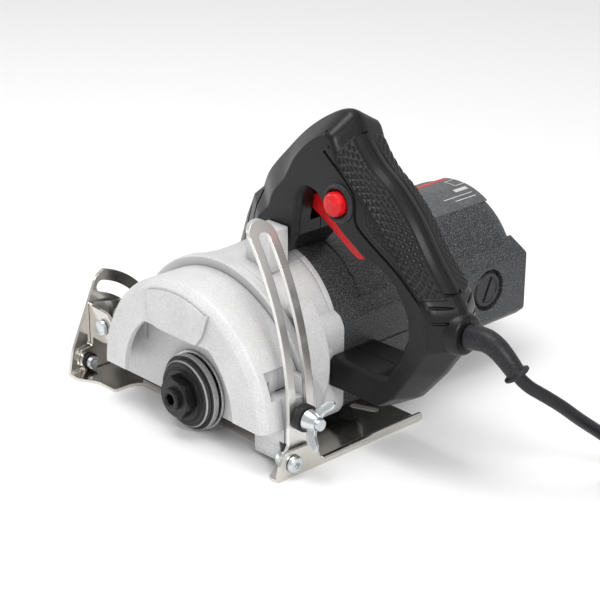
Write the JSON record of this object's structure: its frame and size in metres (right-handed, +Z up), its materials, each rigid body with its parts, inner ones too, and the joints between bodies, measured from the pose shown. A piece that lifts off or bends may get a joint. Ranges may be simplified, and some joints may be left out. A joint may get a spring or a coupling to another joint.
{
  "type": "stone and tile cutter",
  "caption": "Hand-held stone and tile cutter: silver blade guard and gear case, black motor barrel and D-handle on a tilting nickel base with depth arm and mains lead.",
  "frame": {"origin": "underside of the base plate, directly under the blade spindle axis", "axes": "+X is the cutting direction, +Y is the blade side, +Z is up"},
  "size_m": [0.4553, 0.208, 0.1655],
  "materials": {
    "nickel_sheet": "bright nickel plated sheet with fine drawing lines",
    "zinc_hardware": "bright zinc plate, slightly blue",
    "cast_silver": "fine-grained silver grey powder paint on a sand-cast surface",
    "bright_steel": "turned bright steel",
    "black_steel": "black oxide with a turned grain",
    "black_moulding": "black moulded nylon with a fine spark-eroded texture",
    "soft_grip": "soft black over-moulding with a diamond pattern",
    "red_moulding": "red moulded plastic",
    "cord_sheath": "black flexible PVC",
    "iron_core": "stacked laminations",
    "copper_segments": "turned copper",
    "brass_holder": "pressed brass",
    "carbon": "pressed carbon"
  },
  "bodies": {
    "base": {"base_plate": "nickel_sheet", "rear_bevel_bolt": "zinc_hardware", "front_bevel_bolt": "zinc_hardware", "rear_bevel_nut": "zinc_hardware", "front_bevel_nut": "zinc_hardware", "rear_bevel_washer": "zinc_hardware", "front_bevel_washer": "black_moulding"},
    "cradle": {"front_bracket": "nickel_sheet", "depth_arm": "nickel_sheet", "depth_pivot_bolt": "zinc_hardware"},
    "saw": {"depth_stud": "zinc_hardware", "housing_screw_rear": "zinc_hardware", "housing_screw_front": "zinc_hardware", "gear_housing": "cast_silver", "blade_guard": "cast_silver", "bearing_plate": "cast_silver", "bearing_cover": "bright_steel", "armature_bearing_front": "bright_steel", "armature_bearing_rear": "bright_steel", "spindle_bearing_rear": "bright_steel", "spindle_bearing_front": "bright_steel", "trigger_pin": "bright_steel", "handle_screw_1": "bright_steel", "handle_screw_2": "bright_steel", "brush_spring_rear": "bright_steel", "brush_spring_front": "bright_steel", "motor_housing": "black_moulding", "handle_left": "black_moulding", "handle_right": "black_moulding", "lock_collar": "black_moulding", "brush_cap_rear": "black_moulding", "brush_cap_front": "black_moulding", "switch_body": "black_moulding", "depth_washer": "black_moulding", "power_plug": "black_moulding", "grip_pad_left": "soft_grip", "grip_pad_right": "soft_grip", "cord": "cord_sheath", "cord_coil": "cord_sheath", "cord_tail": "cord_sheath", "cord_guard": "cord_sheath", "stator": "iron_core", "brush_holder_rear": "brass_holder", "brush_holder_front": "brass_holder", "carbon_brush_rear": "carbon", "carbon_brush_front": "carbon"},
    "bevel_knob": {"bevel_wing_bolt": "zinc_hardware"},
    "depth_knob": {"depth_wing_nut": "zinc_hardware"},
    "spindle_set": {"spindle": "bright_steel", "driven_gear": "bright_steel", "inner_flange": "black_steel", "outer_flange": "black_steel", "flange_bolt": "black_steel"},
    "armature": {"armature_shaft": "bright_steel", "armature_core": "iron_core", "commutator": "copper_segments", "cooling_fan": "black_moulding"},
    "trigger_lever": {"trigger": "red_moulding"},
    "lock_pin": {"lock_button": "red_moulding"}
  },
  "joints": [
    {"name": "bevel_hinge", "type": "hinge", "parent": "base", "child": "cradle", "pos_m": [0, 0.0254, 0.007], "axis": [1, 0, 0], "range_deg": [-45, 0]},
    {"name": "depth_hinge", "type": "hinge", "parent": "cradle", "child": "saw", "pos_m": [0.08, 0.0216, 0.0285], "axis": [0, 1, 0], "range_deg": [0, 33]},
    {"name": "bevel_knob_turn", "type": "hinge", "parent": "cradle", "child": "bevel_knob", "pos_m": [0.0995, -0.0108, 0.02625], "axis": [1, 0, 0], "range_deg": [-180, 0]},
    {"name": "depth_knob_turn", "type": "hinge", "parent": "saw", "child": "depth_knob", "pos_m": [-0.077, 0.0176, 0.0285], "axis": [1, 0, 0], "range_deg": [0, 180]},
    {"name": "armature_spin", "type": "hinge", "parent": "saw", "child": "armature", "pos_m": [-0.0045, -0.08, 0.0461], "axis": [0, 1, 0], "continuous": true},
    {"name": "spindle_spin", "type": "hinge", "parent": "saw", "child": "spindle_set", "pos_m": [0, 0, 0.021], "axis": [0, 1, 0], "continuous": true},
    {"name": "trigger_squeeze", "type": "hinge", "parent": "saw", "child": "trigger_lever", "pos_m": [-0.073, -0.033, 0.108], "axis": [0, -1, 0], "range_deg": [0, 7], "stiffness_Nm_per_rad": 1.2, "springref_deg": -11.46},
    {"name": "lock_press", "type": "slide", "parent": "saw", "child": "lock_pin", "axis": [0, -1, 0], "range_m": [0, 0.003], "stiffness_N_per_m": 400, "springref_m": -0.004}
  ],
  "couplings": [
    {"joint": "spindle_spin", "follows": "armature_spin", "ratio": -0.5}
  ]
}
